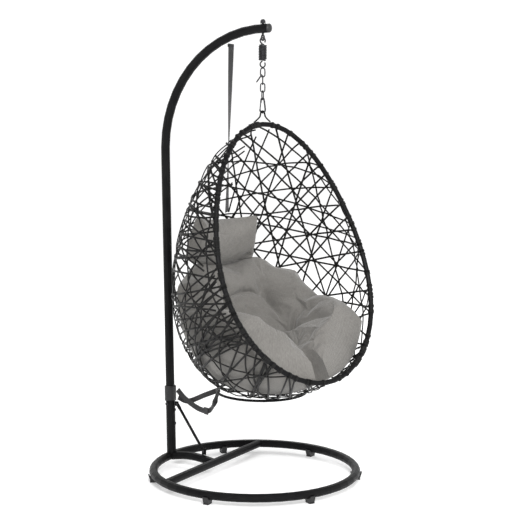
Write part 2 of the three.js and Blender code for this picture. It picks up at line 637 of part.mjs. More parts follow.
function addTether(stand) {
  const r = POST.lowerTube / 2 + GAP + 0.3;
  const band = new THREE.ExtrudeGeometry(disc(r + 2 * TETHER.thick, r), {
    depth: TETHER.wrapHigh - TETHER.wrapLow, bevelEnabled: false, curveSegments: 10,
  });
  const wrap = add(stand, 'tether_wrap', band, webbing());
  wrap.position.copy(postPoint(TETHER.wrapLow));
  wrap.rotation.x = -POST.lean * RAD;

  const end = basketToRow(v3(-112, HOOP.radius - 30, HOOP.z));
  const start = v3(-3, postY(338) - r - 2 * TETHER.thick - 7.5, 338);
  const upper = smooth([
    start.clone().add(v3(0, 0, 18)), v3(-14, 372, 322), v3(-34, 290, 292), v3(-52, 222, 292),
    v3(-62, 186, 330), end.clone().add(v3(0, 14, -24)),
  ]);
  const lower = smooth([
    start.clone().add(v3(6, 0, -18)), v3(5, 366, 308), v3(-14, 262, 354), end.clone().add(v3(20, 16, -16)),
  ]);
  const upright = () => v3(0.25, 0, 1);
  add(stand, 'tether_strap_upper', ribbon(upper, upright, TETHER.width, TETHER.thick, 24), webbing());
  add(stand, 'tether_strap_lower', ribbon(lower, upright, TETHER.width, TETHER.thick, 16), webbing());
  const buckle = add(stand, 'tether_buckle', new THREE.BoxGeometry(4, 26, 32), plastic());
  buckle.position.copy(upper.getPointAt(0.66)).add(v3(-9, -3, 1));
  buckle.rotation.z = -0.3;
}

// ---------------------------------------------------------------- assembly
const group = new THREE.Group();
const stand = new THREE.Group();
const hanging = new THREE.Group();
const basket = new THREE.Group();
basket.position.y = HOOK_Y;
basket.rotation.z = BASKET.turn * RAD;
group.add(stand, hanging, basket);

addFloorRing(stand);
addFeet(stand);
addFloorBars(stand);
addPost(stand);
addBrace(stand);
addPostBolts(stand);
addEyeBolt(stand);
addStraps(stand);
addTether(stand);
addSpring(hanging);
addChain(hanging);
addSnapHook(hanging);
addBasketFrame(basket);
addHangingLoop(basket);
addWeave(basket);
addSeatCushion(basket);
addHeadPillow(basket);

// The row's origin is on the floor, under the middle of the whole object's box.
const middle = new THREE.Box3().setFromObject(group, true).getCenter(v3(0, 0, 0));
group.position.set(-middle.x, -middle.y, 0);
export default group;
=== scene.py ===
"""The looks of a hanging egg chair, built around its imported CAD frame."""
import math

import bpy
import numpy as np
from mathutils import Matrix, Vector
from mathutils.bvhtree import BVHTree


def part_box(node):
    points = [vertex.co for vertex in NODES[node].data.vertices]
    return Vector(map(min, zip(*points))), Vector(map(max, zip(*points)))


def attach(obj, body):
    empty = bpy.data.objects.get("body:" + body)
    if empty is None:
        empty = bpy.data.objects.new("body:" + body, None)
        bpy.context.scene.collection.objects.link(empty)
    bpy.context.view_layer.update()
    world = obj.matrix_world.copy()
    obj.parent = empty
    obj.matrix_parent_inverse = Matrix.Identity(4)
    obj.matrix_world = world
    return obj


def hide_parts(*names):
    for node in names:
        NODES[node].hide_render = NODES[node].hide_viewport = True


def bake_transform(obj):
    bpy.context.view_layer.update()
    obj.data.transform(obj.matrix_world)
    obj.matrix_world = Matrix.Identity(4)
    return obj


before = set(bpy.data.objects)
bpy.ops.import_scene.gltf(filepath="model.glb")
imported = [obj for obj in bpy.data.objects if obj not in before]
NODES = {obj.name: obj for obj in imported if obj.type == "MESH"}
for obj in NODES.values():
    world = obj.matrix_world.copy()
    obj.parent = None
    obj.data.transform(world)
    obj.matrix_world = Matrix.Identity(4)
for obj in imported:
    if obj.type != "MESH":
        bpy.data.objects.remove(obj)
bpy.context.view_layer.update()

# ------------------------------------------------------------------ the egg, as the CAD lays it out
HOOK = Vector((0.0, -0.025021, 0.0))          # the swing axis
TURN = math.radians(-22.5)                    # the basket hangs turned a little to one side
MOUTH_TOP, MOUTH_TILT, MOUTH_LENGTH = 1.593, math.radians(23), 1.161
HALF_WIDTH, BOW, DEPTH = 0.386, 0.019, 0.658
WRAP, DROP = math.radians(27.4), (math.radians(14.7), math.radians(29.2))
FLOOR_Z, RIM_TUBE = 0.412, 0.022

BASKET = Matrix.Translation(HOOK) @ Matrix.Rotation(TURN, 4, "Z")


def rim_half(t):
    oval = np.sqrt(np.clip(4 * t * (1 - t), 0, None))
    return HALF_WIDTH * oval * (1 + 0.312 * (t - 0.5) - 0.64 * (t - 0.5) ** 3)


def rim_middle(t):
    s, bow = MOUTH_LENGTH * t, BOW * (rim_half(t) / HALF_WIDTH) ** 2
    y = -s * math.sin(MOUTH_TILT) + bow * math.cos(MOUTH_TILT)
    z = MOUTH_TOP - s * math.cos(MOUTH_TILT) - bow * math.sin(MOUTH_TILT)
    return y, z


def depth_at(t):
    shape = lambda s: np.clip(s, 0, None) ** 0.927 * np.clip(1 - s, 0, None) ** 0.403
    return DEPTH * shape(t) / shape(0.697)


def raw_egg(t, phi):
    """Points of the egg in the basket's own frame, as an array (..., 3). phi is in radians."""
    t, phi = np.broadcast_arrays(np.asarray(t, float), np.asarray(phi, float))
    drop = DROP[0] + (DROP[1] - DROP[0]) * t
    back = depth_at(t) * (math.sin(WRAP) + np.sin(phi)) / (1 + math.sin(WRAP))
    y, z = rim_middle(t)
    side = rim_half(t) * np.cos(phi) / math.cos(WRAP)
    return np.stack([side, y + back * np.cos(drop), z - back * np.sin(drop)], -1)


def egg_normal(t, phi):
    at = np.clip(t, 0.012, 0.988)
    down = raw_egg(at + 0.004, phi) - raw_egg(at - 0.004, phi)
    around = raw_egg(at, phi + 0.017) - raw_egg(at, phi - 0.017)
    n = np.cross(down, around)
    return n / np.linalg.norm(n, axis=-1, keepdims=True)


def egg(t, phi, inset=0.0):
    inset = np.asarray(inset, float)
    p = raw_egg(t, phi) - egg_normal(t, phi) * inset[..., None]
    p[..., 2] = np.maximum(p[..., 2], FLOOR_Z + inset)
    return p


def rim_point(turn):
    t = (1 - np.cos(2 * np.pi * turn)) / 2
    y, z = rim_middle(t)
    side = np.where(np.mod(turn, 1) < 0.5, 1.0, -1.0)
    return np.stack([rim_half(t) * side, y, z], -1)


def to_row(points):
    m = np.array(BASKET)
    return np.asarray(points) @ m[:3, :3].T + m[:3, 3]


# ------------------------------------------------------------------ camera, floor, light
def make_camera():
    data = bpy.data.cameras.new("camera")
    data.lens, data.sensor_width, data.clip_end = 117.4, 36, 200
    camera = bpy.data.objects.new("camera", data)
    pitch, roll = math.radians(8.70), math.radians(0.2)
    ahead = Vector((0.8616 * math.cos(pitch), 0.5075 * math.cos(pitch), -math.sin(pitch))).normalized()
    turn = (-ahead).to_track_quat("Z", "Y").to_matrix().to_4x4()
    camera.matrix_world = Matrix.Translation((-6.4095, -3.798, 2.126)) @ turn @ Matrix.Rotation(roll, 4, "Z")
    bpy.context.scene.collection.objects.link(camera)
    bpy.context.scene.camera = camera


def area_light(name, place, target, size, power, colour=(1, 1, 1)):
    data = bpy.data.lights.new(name, "AREA")
    data.shape, data.size, data.energy, data.color = "DISK", size, power, colour
    light = bpy.data.objects.new(name, data)
    light.location = place
    light.rotation_euler = (Vector(target) - Vector(place)).to_track_quat("-Z", "Y").to_euler()
    bpy.context.scene.collection.objects.link(light)


def make_studio():
    scene = bpy.context.scene
    scene.view_settings.view_transform = "Standard"
    world = bpy.data.worlds.new("studio")
    world.use_nodes = True
    world.node_tree.nodes["Background"].inputs[0].default_value = (1, 1, 1, 1)
    world.node_tree.nodes["Background"].inputs[1].default_value = 0.75
    scene.world = world
    profile = [(0, 0), (14, 0), (17, 0.4), (19.5, 1.6), (21, 4), (21.5, 8)]
    sides = 64
    turns = np.linspace(0, 2 * np.pi, sides, False)
    verts = [(0, 0, 0)] + [(r * math.cos(a), r * math.sin(a), z) for r, z in profile[1:] for a in turns]
    faces = [(0, 1 + i, 1 + (i + 1) % sides) for i in range(sides)]
    for k in range(len(profile) - 2):
        a, b = 1 + sides * k, 1 + sides * (k + 1)
        faces += [(a + i, b + i, b + (i + 1) % sides, a + (i + 1) % sides) for i in range(sides)]
    floor = new_object("studio_floor", verts, faces)
    floor.data.materials.append(floor_paint())
    area_light("key", (-4.2, -3.4, 4.6), (0, 0, 1.0), 2.0, 300)
    area_light("fill", (1.8, -5.6, 2.6), (0, 0, 1.0), 3.0, 30)
    area_light("rim", (3.6, 2.4, 4.4), (0, 0, 1.2), 2.2, 90)


# ------------------------------------------------------------------ meshes
def new_object(name, verts, faces, attributes=None):
    mesh = bpy.data.meshes.new(name)
    mesh.from_pydata(np.asarray(verts, float).tolist(), [], [tuple(f) for f in faces])
    mesh.polygons.foreach_set("use_smooth", np.ones(len(mesh.polygons), bool))
    for key, values in (attributes or {}).items():
        mesh.attributes.new(key, "FLOAT", "POINT").data.foreach_set("value", np.asarray(values, np.float32))
    mesh.update()
    o = bpy.data.objects.new(name, mesh)
    bpy.context.scene.collection.objects.link(o)
    return o


def unit(v):
    return v / np.maximum(np.linalg.norm(v, axis=-1, keepdims=True), 1e-12)


def resampled(points, step):
    """The same line with even steps of about that length."""
    p = np.asarray(points, float)
    run = np.concatenate([[0], np.cumsum(np.linalg.norm(np.diff(p, axis=0), axis=1))])
    at = np.linspace(0, run[-1], max(3, int(round(run[-1] / step)) + 1))
    return np.stack([np.interp(at, run, p[:, k]) for k in range(3)], 1)


def smoothed(points, per_leg=12):
    """A Catmull-Rom line through the points."""
    p = np.asarray(points, float)
    p = np.vstack([2 * p[0] - p[1], p, 2 * p[-1] - p[-2]])
    s = np.linspace(0, 1, per_leg, False)[:, None]
    legs = []
    for a, b, c, d in zip(p, p[1:], p[2:], p[3:]):
        square, cube = 2 * a - 5 * b + 4 * c - d, 3 * b - a - 3 * c + d
        legs.append(0.5 * (2 * b + (c - a) * s + square * s ** 2 + cube * s ** 3))
    return np.vstack(legs + [p[-2:-1]])


class Shape:
    """Gathers tubes and other grids into one mesh."""

    def __init__(self):
        self.verts, self.faces, self.along, self.count = [], [], [], 0

    def add(self, verts, faces, along=None):
        self.verts.append(np.asarray(verts, float))
        self.faces += [tuple(int(i) + self.count for i in f) for f in faces]
        self.along.append(np.zeros(len(verts)) if along is None else np.asarray(along, float))
        self.count += len(verts)

    def tube(self, points, radius, sides=8, closed=False, flat=1.0, up=None):
        p = np.asarray(points, float)
        n = len(p)
        if closed:
            ahead = unit(np.roll(p, -1, 0) - np.roll(p, 1, 0))
        else:
            ahead = unit(np.gradient(p, axis=0))
        if up is None:
            first = np.array([0.0, 0, 1]) if abs(ahead[0][2]) < 0.9 else np.array([1.0, 0, 0])
            side = unit(np.cross(ahead[0], first))
            sides_at = [side]
            for k in range(1, n):
                side = unit(side - ahead[k] * (side @ ahead[k]))
                sides_at.append(side)
            side = np.array(sides_at)
        else:
            side = unit(np.cross(ahead, up))
        over = np.cross(side, ahead)
        a = np.linspace(0, 2 * np.pi, sides, False)
        r = np.broadcast_to(np.asarray(radius, float), (n,))[:, None, None]
        ring = side[:, None] * np.cos(a)[:, None] + over[:, None] * np.sin(a)[:, None] * flat
        verts = (p[:, None] + r * ring).reshape(-1, 3)
        k = np.arange(n if closed else n - 1)[:, None]
        i = np.arange(sides)[None]
        j, m = (i + 1) % sides, (k + 1) % n
        faces = np.stack([k * sides + i, k * sides + j, m * sides + j, m * sides + i], -1)
        faces = faces.reshape(-1, 4).tolist()
        if not closed:
            faces += [list(range(sides))[::-1], [(n - 1) * sides + q for q in range(sides)]]
        run = np.concatenate([[0], np.cumsum(np.linalg.norm(np.diff(p, axis=0), axis=1))])
        self.add(verts, faces, np.repeat(run, sides))

    def ring(self, centre, axis, radius, wire, around=16, sides=6):
        axis = unit(np.asarray(axis, float))
        first = np.array([0.0, 0, 1]) if abs(axis[2]) < 0.9 else np.array([1.0, 0, 0])
        a = unit(np.cross(axis, first))
        b = np.cross(axis, a)
        turn = np.linspace(0, 2 * np.pi, around, False)[:, None]
        self.tube(centre + radius * (a * np.cos(turn) + b * np.sin(turn)), wire, sides, closed=True)

    def build(self, name):
        return new_object(name, np.vstack(self.verts), self.faces, {"along": np.concatenate(self.along)})


# ------------------------------------------------------------------ paints
def paint(name):
    m = bpy.data.materials.new(name)
    m.use_nodes = True
    tree = m.node_tree
    tree.nodes.clear()
    out = tree.nodes.new("ShaderNodeOutputMaterial")
    shader = tree.nodes.new("ShaderNodeBsdfPrincipled")
    tree.links.new(shader.outputs[0], out.inputs[0])
    return m, tree, shader


def node(tree, kind, inputs=None, **settings):
    n = tree.nodes.new("ShaderNode" + kind)
    for key, value in settings.items():
        setattr(n, key, value)
    for key, value in (inputs or {}).items():
        if isinstance(value, bpy.types.NodeSocket):
            tree.links.new(value, n.inputs[key])
        else:
            n.inputs[key].default_value = value
    return n


def math_node(tree, operation, a, b=0.0):
    return node(tree, "Math", {0: a, 1: b}, operation=operation).outputs[0]


def place(tree, scale=(1, 1, 1)):
    coordinates = node(tree, "TexCoord").outputs["Object"]
    return node(tree, "Mapping", {"Vector": coordinates, "Scale": scale}).outputs[0]


def noise(tree, vector, scale, detail=2.0, roughness=0.5):
    inputs = {"Vector": vector, "Scale": scale, "Detail": detail, "Roughness": roughness}
    return node(tree, "TexNoise", inputs).outputs["Fac"]


def mix(tree, share, a, b):
    n = node(tree, "Mix", {"Factor": share}, data_type="RGBA")
    for index, value in ((6, a), (7, b)):
        if isinstance(value, bpy.types.NodeSocket):
            tree.links.new(value, n.inputs[index])
        else:
            n.inputs[index].default_value = (*value, 1)
    return n.outputs[2]


def spread(tree, value, low, high, to_low=0.0, to_high=1.0):
    inputs = {"Value": value, "From Min": low, "From Max": high, "To Min": to_low, "To Max": to_high}
    return node(tree, "MapRange", inputs).outputs[0]


def set_shader(tree, shader, colour=None, roughness=None, height=None, distance=0.001, strength=1.0, **plain):
    if colour is not None:
        tree.links.new(colour, shader.inputs["Base Color"])
    if roughness is not None:
        tree.links.new(roughness, shader.inputs["Roughness"])
    if height is not None:
        bump = node(tree, "Bump", {"Height": height, "Distance": distance, "Strength": strength})
        tree.links.new(bump.outputs[0], shader.inputs["Normal"])
    for key, value in plain.items():
        shader.inputs[key.replace("_", " ")].default_value = value


def floor_paint():
    m, tree, shader = paint("floor_paint")
    at = place(tree)
    colour = mix(tree, noise(tree, at, 3.0), (0.86, 0.86, 0.86), (0.885, 0.885, 0.885))
    rough = spread(tree, noise(tree, at, 40.0), 0, 1, 0.75, 0.95)
    set_shader(tree, shader, colour, rough, Emission_Color=(1, 1, 1, 1), Emission_Strength=0.3)
    return m


def powder_coat(name="powder_coat", dark=(0.003, 0.003, 0.0035), light=(0.007, 0.007, 0.0075)):
    m, tree, shader = paint(name)
    at = place(tree)
    peel, cloud = noise(tree, at, 900.0, 2.0), noise(tree, at, 14.0, 4.0)
    colour = mix(tree, spread(tree, cloud, 0.3, 0.7), dark, light)
    rough = spread(tree, cloud, 0.25, 0.75, 0.36, 0.5)
    set_shader(tree, shader, colour, rough, peel, 0.0004, 0.35, Specular_IOR_Level=0.11)
    return m


def zinc_black():
    m, tree, shader = paint("zinc_black")
    at = place(tree)
    scratch = noise(tree, place(tree, (60, 60, 900)), 3.0, 3.0)
    cloud = noise(tree, at, 120.0, 3.0)
    colour = mix(tree, spread(tree, cloud, 0.3, 0.7), (0.018, 0.018, 0.02), (0.05, 0.05, 0.054))
    height = math_node(tree, "ADD", scratch, math_node(tree, "MULTIPLY", cloud, 0.5))
    rough = spread(tree, scratch, 0.3, 0.7, 0.28, 0.5)
    set_shader(tree, shader, colour, rough, height, 0.0003, 0.4, Metallic=0.75)
    return m


def moulded(name, dark, light, rough, grain):
    m, tree, shader = paint(name)
    at = place(tree)
    fine, cloud = noise(tree, at, grain, 3.0), noise(tree, at, 30.0, 3.0)
    colour = mix(tree, spread(tree, cloud, 0.3, 0.7), dark, light)
    roughness = spread(tree, cloud, 0.2, 0.8, rough - 0.07, rough + 0.07)
    set_shader(tree, shader, colour, roughness, fine, 0.0005, 0.4)
    return m


def rattan():
    """Extruded resin cane: a fine grain in its surface and a waxy sheen."""
    m, tree, shader = paint("rattan")
    along = node(tree, "Attribute", attribute_name="along").outputs["Fac"]
    at = place(tree)
    streak = noise(tree, place(tree, (1, 1, 1)), 1100.0, 1.0)
    inputs = {"W": along, "Scale": 22.0, "Detail": 3.0}
    blotch = node(tree, "TexNoise", inputs, noise_dimensions="1D").outputs["Fac"]
    cloud = noise(tree, at, 60.0, 2.0)
    colour = mix(tree, spread(tree, blotch, 0.3, 0.7), (0.003, 0.003, 0.003), (0.010, 0.0098, 0.0095))
    height = math_node(tree, "ADD", streak, math_node(tree, "MULTIPLY", cloud, 0.6))
    rough = spread(tree, blotch, 0.25, 0.75, 0.34, 0.52)
    set_shader(tree, shader, colour, rough, height, 0.0004, 0.35, Specular_IOR_Level=0.2)
    return m


def webbing():
    m, tree, shader = paint("webbing")
    along = node(tree, "Attribute", attribute_name="along").outputs["Fac"]
    across = node(tree, "Attribute", attribute_name="across").outputs["Fac"]
    rib = math_node(tree, "SINE", math_node(tree, "MULTIPLY", along, 2800.0))
    cord = math_node(tree, "SINE", math_node(tree, "MULTIPLY", across, 1500.0))
    height = math_node(tree, "ADD", math_node(tree, "MULTIPLY", rib, cord), math_node(tree, "MULTIPLY", rib, 0.6))
    fuzz = noise(tree, place(tree), 500.0, 3.0)
    # the colour follows the ribs, darker in their grooves: painted shade, laid over a random fuzz tone
    shade = math_node(tree, "ADD", fuzz, math_node(tree, "MULTIPLY", rib, 0.08))
    colour = mix(tree, spread(tree, shade, 0.3, 0.75), (0.006, 0.006, 0.007), (0.024, 0.024, 0.026))
    rough = spread(tree, fuzz, 0.2, 0.8, 0.7, 0.9)
    set_shader(tree, shader, colour, rough, height, 0.0004, 0.5, Sheen_Weight=0.3)
    return m


CLOTH_DARK, CLOTH_LIGHT = (0.125, 0.119, 0.110), (0.235, 0.226, 0.211)
YARN = 0.0017                                 # the pitch of the weave


def woven_cloth():
    """Grey-taupe polyester: a plain weave of slightly mixed yarns, as fine as the real cloth."""
    m, tree, shader = paint("woven_cloth")
    uv = node(tree, "UVMap", uv_map="cloth").outputs[0]
    parts = node(tree, "SeparateXYZ", {0: uv})
    x, y = parts.outputs[0], parts.outputs[1]
    pitch = 2 * math.pi / YARN
    warp = math_node(tree, "SINE", math_node(tree, "MULTIPLY", x, pitch))
    weft = math_node(tree, "SINE", math_node(tree, "MULTIPLY", y, pitch))
    weave = math_node(tree, "MULTIPLY", warp, weft)
    stretch = lambda sx, sy: node(tree, "Mapping", {"Vector": uv, "Scale": (sx, sy, 1)}).outputs[0]
    slub_x = noise(tree, stretch(60, 900), 1.0, 2.0)
    slub_y = noise(tree, stretch(900, 60), 1.0, 2.0)
    yarn = math_node(tree, "MULTIPLY", math_node(tree, "ADD", slub_x, slub_y), 0.5)
    cloud = noise(tree, place(tree), 9.0, 3.0)
    shade = math_node(tree, "ADD", spread(tree, yarn, 0.32, 0.68, 0, 0.75), spread(tree, cloud, 0.3, 0.7, 0, 0.25))
    colour = mix(tree, shade, CLOTH_DARK, CLOTH_LIGHT)
    yarn_height = math_node(tree, "MULTIPLY", yarn, 2.0)
    height = math_node(tree, "ADD", math_node(tree, "MULTIPLY", weave, 0.5), yarn_height)
    set_shader(tree, shader, colour, None, height, 0.0004, 0.6, Roughness=0.92, Sheen_Weight=0.25,
               Sheen_Roughness=0.5, Specular_IOR_Level=0.25)
    return m


# ------------------------------------------------------------------ the woven basket
CANE_WIDTH, CANE_THICK = 0.0086, 0.0052       # a strand is a flat oval
HEART = np.array([0.0, -0.10, 1.02])          # a point in the middle of the egg
# Each family of strands: its slope in degrees, how many, the turns at which the first and last
# lie round the heart, and the direction that their planes face. The last ones wind the left flank.
FACING, FLANK = 33, -38
FAMILIES = (
    (50, 12, -72, 42, FACING), (-47, 12, -46, 72, FACING),
    (73, 6, -60, 30, FACING), (-75, 6, -30, 60, FACING),
    (9, 8, -60, 62, FACING), (-13, 7, -56, 60, FACING), (2, 7, -86, -50, FACING),
    (50, 7, 14, 80, FLANK), (-47, 7, -80, -14, FLANK),
    (73, 4, 25, 75, FLANK), (-75, 4, -75, -25, FLANK), (5, 4, -50, 50, FLANK),
)
FLANK_SIDE = -0.02                            # strands of the flank end here, by the spine rods


def egg_tree():
    t = (1 - np.cos(np.linspace(0.02, 0.995, 120) * np.pi)) / 2
    phi = np.linspace(-WRAP, math.pi + WRAP, 140)
    grid = egg(t[:, None], phi[None], np.array(CANE_THICK / 2))
    rows, columns = grid.shape[:2]
    k, i = np.meshgrid(np.arange(rows - 1), np.arange(columns - 1), indexing="ij")
    a = (k * columns + i).ravel()
    faces = np.stack([a, a + 1, a + columns + 1, a + columns], 1)
    return BVHTree.FromPolygons(grid.reshape(-1, 3).tolist(), faces.tolist())


def strand_on_egg(tree, slope, angle, facing, parallel):
    """Where a tight strand of that slope lies on the egg: the cut of a plane through the egg."""
    back = unit(np.array([math.sin(facing), math.cos(facing), -0.13]))
    lateral = unit(np.cross(back, (0.0, 0.0, 1.0)))
    down = np.cross(back, lateral)
    run = unit(lateral * math.cos(slope) - down * math.sin(slope))
    side = unit(np.cross(run, back))
    look = back * math.cos(angle) + side * math.sin(angle)
    hit = tree.ray_cast(Vector(HEART), Vector(look))[0]
    if hit is None:
        return None
    middle = np.array(hit)
    normal = unit(unit(np.cross(run, look)) * (1 - parallel) + unit(np.cross(run, back)) * parallel)
    origin = HEART - normal * ((HEART - middle) @ normal)
    ahead = unit(middle - origin)
    across = np.cross(normal, ahead)
    points = []
    for turn in np.radians(np.arange(-140, 141, 2.5)):
        spot = tree.ray_cast(Vector(origin), Vector(ahead * math.cos(turn) + across * math.sin(turn)))[0]
        if spot is not None:
            points.append(np.array(spot))
        elif turn < 0:
            points = []
        else:
            break
    return np.array(points) if len(points) > 6 else None


def egg_strands(tree):
    rng = np.random.default_rng(7)
    strands = []
    for slope, number, first, last, facing in FAMILIES:
        for k, turn in enumerate(np.linspace(first, last, number)):
            wobble = rng.normal(0, 1, 2)
            angle, lean = math.radians(turn + wobble[0] * 1.8), math.radians(slope + wobble[1] * 2.0)
            line = strand_on_egg(tree, lean, angle, math.radians(facing), 0.95 - 0.45 * (turn / 75) ** 2)
            if line is not None and facing == FLANK:
                line = line[line[:, 0] < FLANK_SIDE]
            if line is not None and len(line) > 6:
                strands.append(resampled(line, 0.012))
    return strands


def levels(strands):
    """How far each strand lies above or below the egg where it crosses the others, turn and turn about."""
    reach, lifts = CANE_WIDTH, [[] for _ in strands]
    for i, a in enumerate(strands):
        for k in range(i):
            b = strands[k]
            gap = np.linalg.norm(a[:, None] - b[None], axis=-1)
            close = np.argwhere(gap < reach)
            while len(close):
                m, n = close[gap[close[:, 0], close[:, 1]].argmin()]
                over = 1 if (len(lifts[i]) + len(lifts[k])) % 2 else -1
                lifts[i].append((m, over))
                lifts[k].append((n, -over))
                close = close[(np.abs(close[:, 0] - m) > 6)]
    result = []
    for line, marks in zip(strands, lifts):
        marks = sorted(marks)
        at = [0] + [m for m, _ in marks] + [len(line) - 1]
        high = [0] + [h for _, h in marks] + [0]
        result.append(np.interp(np.arange(len(line)), at, high) * CANE_THICK * 0.55)
    return result


def make_cage(tree, cane):
    shape, wraps = Shape(), Shape()
    strands = egg_strands(tree)
    for line, lift in zip(strands, levels(strands)):
        out = np.array([tree.find_nearest(Vector(p))[1] for p in line])
        out *= np.sign(((line - HEART) * out).sum(1))[:, None]
        path = to_row(line + out * lift[:, None])
        shape.tube(path, CANE_WIDTH / 2, 8, flat=CANE_THICK / CANE_WIDTH, up=turned(out))
    turns = np.linspace(0, 1, 721)[:-1]
    rim = rim_point(turns)
    for line in strands:
        for end in (line[0], line[-1]):
            k = np.linalg.norm(rim - end, axis=1).argmin()
            if np.linalg.norm(rim[k] - end) < 0.06:
                along = unit(rim[(k + 1) % 720] - rim[k - 1])
                for step in (-0.5, 0.5):
                    centre = rim[k] + along * step * 0.0052
                    wraps.ring(to_row(centre), turned(along), RIM_TUBE / 2 + 0.0006, 0.0026, 18, 6)
    cage, ties = shape.build("cane_cage"), wraps.build("rim_ties")
    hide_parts(*[n for n in NODES if n.startswith("weave_")])
    for o in (cage, ties):
        o.data.materials.append(cane)
        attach(o, "basket")


def turned(vectors):
    return np.asarray(vectors) @ np.array(BASKET)[:3, :3].T


# ------------------------------------------------------------------ cushions
# The pad's upper edge: degrees round from the middle of the back, and how far down the egg.
SEAT_OUTLINE = (
    (0, 0.414), (25, 0.416), (38, 0.46), (54, 0.505), (61, 0.59), (66, 0.635), (79, 0.68), (90, 0.715), (98, 0.745),
    (110, 0.79),
)
SEAT_FOCUS = np.array([0.0, -0.120, 1.050])
SEAT_FRONT, SEAT_INSET = 0.9975, 0.022
SEAT_MARGIN = math.radians(5.5)               # from each side's rim
PILLOW_T, PILLOW_PHI, PILLOW_INSET = (0.270, 0.409), (math.radians(69), math.radians(136)), 0.021
TUFTS = ((0.12, 0.16, 0.83), (-0.12, 0.16, 0.83), (0.12, -0.03, 0.68), (-0.12, -0.03, 0.68))


def pad_mesh(name, base, top, uv_step):
    """A closed pad from two grids of points that share their outline, with a cloth UV on it."""
    rows, columns = base.shape[:2]
    inner = np.zeros((rows, columns), bool)
    inner[1:-1, 1:-1] = True
    top_index = np.arange(rows * columns).reshape(rows, columns)
    low_index = top_index.copy()
    low_index[inner] = rows * columns + np.arange(inner.sum())
    verts = np.vstack([top.reshape(-1, 3), base[inner]])
    quads = lambda g: np.stack([g[:-1, :-1], g[:-1, 1:], g[1:, 1:], g[1:, :-1]], -1).reshape(-1, 4)
    faces = np.vstack([quads(top_index), quads(low_index)[:, ::-1]])
    o = new_object(name, verts, faces.tolist())
    u, v = np.meshgrid(np.arange(columns) * uv_step, np.arange(rows) * uv_step)
    flat = np.zeros((len(verts), 2))
    flat[top_index.ravel()] = np.stack([u, v], -1).reshape(-1, 2)
    flat[low_index.ravel()] = np.stack([u, v], -1).reshape(-1, 2)
    layer = o.data.uv_layers.new(name="cloth")
    corner = np.zeros(len(o.data.loops), int)
    o.data.loops.foreach_get("vertex_index", corner)
    layer.data.foreach_set("uv", flat[corner].astype(np.float32).ravel())
    face_points(o)
    return o, top_index, low_index


def face_points(o):
    """Turns a closed mesh's faces outwards."""
    co = np.array([v.co for v in o.data.vertices])
    corners = [[co[i] for i in p.vertices[:3]] for p in o.data.polygons]
    volume = sum(np.dot(a, np.cross(b, c)) for a, b, c in corners)
    if volume < 0:
        o.data.flip_normals()


def swell(o, held, pressure, frames, cap, extra, stiffness=15.0):
    """A short cloth simulation: the pad fills like a stuffed cover, its held points fixed."""
    start = np.array([v.co for v in o.data.vertices])
    group = o.vertex_groups.new(name="pin")
    group.add([int(i) for i in held], 1.0, "REPLACE")
    cloth = o.modifiers.new("Cloth", "CLOTH")
    s = cloth.settings
    s.quality, s.mass, s.air_damping = 5, 0.3, 5.0
    s.tension_stiffness = s.compression_stiffness = stiffness
    s.shear_stiffness, s.bending_stiffness = stiffness / 3, 0.15
    s.use_pressure, s.uniform_pressure_force = True, pressure
    s.shrink_min = s.shrink_max = -extra
    s.vertex_group_mass, s.pin_stiffness = "pin", 1.0
    s.effector_weights.gravity = 0
    cloth.collision_settings.use_collision = False
    scene = bpy.context.scene
    for f in range(1, frames + 1):
        scene.frame_set(f)
    made = o.evaluated_get(bpy.context.evaluated_depsgraph_get()).data
    moved = np.array([v.co for v in made.vertices])
    o.modifiers.remove(cloth)
    scene.frame_set(1)
    move = moved - start
    length = np.linalg.norm(move, axis=1, keepdims=True)
    end = start + move * np.minimum(1, cap / np.maximum(length, 1e-9))
    o.data.vertices.foreach_set("co", end.astype(np.float32).ravel())
    o.data.update()


def bumped(distance, width):
    return np.exp(-((distance / width) ** 2))


def seat_grids(columns=150, rows=130):
    """The seat pad's underside on the egg, and its tufted face."""
    u, v = np.meshgrid(np.linspace(0, 1, columns), np.linspace(0, 1, rows))
    phi = -WRAP + SEAT_MARGIN + (math.pi + 2 * WRAP - 2 * SEAT_MARGIN) * u
    angles, tops = np.array(SEAT_OUTLINE).T
    upper = np.interp(np.degrees(np.abs(phi - math.pi / 2)), angles, tops)
    t = upper + (SEAT_FRONT - upper) * (1 - (1 - v) ** 2.2)
    base = egg(t, phi, np.full(t.shape, SEAT_INSET))
    rounded = lambda s, width: np.sqrt(np.clip(1 - (1 - np.clip(s / width, 0, 1)) ** 2, 0, 1))
    rim = rim_point(np.linspace(0, 1, 361)[:-1])
    from_rim = np.linalg.norm(base[:, :, None] - rim[None, None], axis=-1).min(-1)
    edge = rounded(np.clip(from_rim - 0.010, 0, 1), 0.055) * rounded(v, 0.16)
    to_front, to_side = np.clip((v - 0.6) / 0.4, 0, 1), np.clip((np.abs(u - 0.5) - 0.25) / 0.25, 0, 1)
    body = 0.38 - 0.13 * to_front - 0.06 * to_side ** 1.5
    top = base + (SEAT_FOCUS - base) * (edge * body)[..., None]
    return base, top, edge


def to_segment(p, a, b):
    """Distance from each point to the segment a b, and how far along it the nearest point is."""
    a, b = np.asarray(a, float), np.asarray(b, float)
    d = b - a
    s = np.clip(((p - a) @ d) / (d @ d), 0, 1)
    return np.linalg.norm(p - a - s[..., None] * d, axis=-1), s


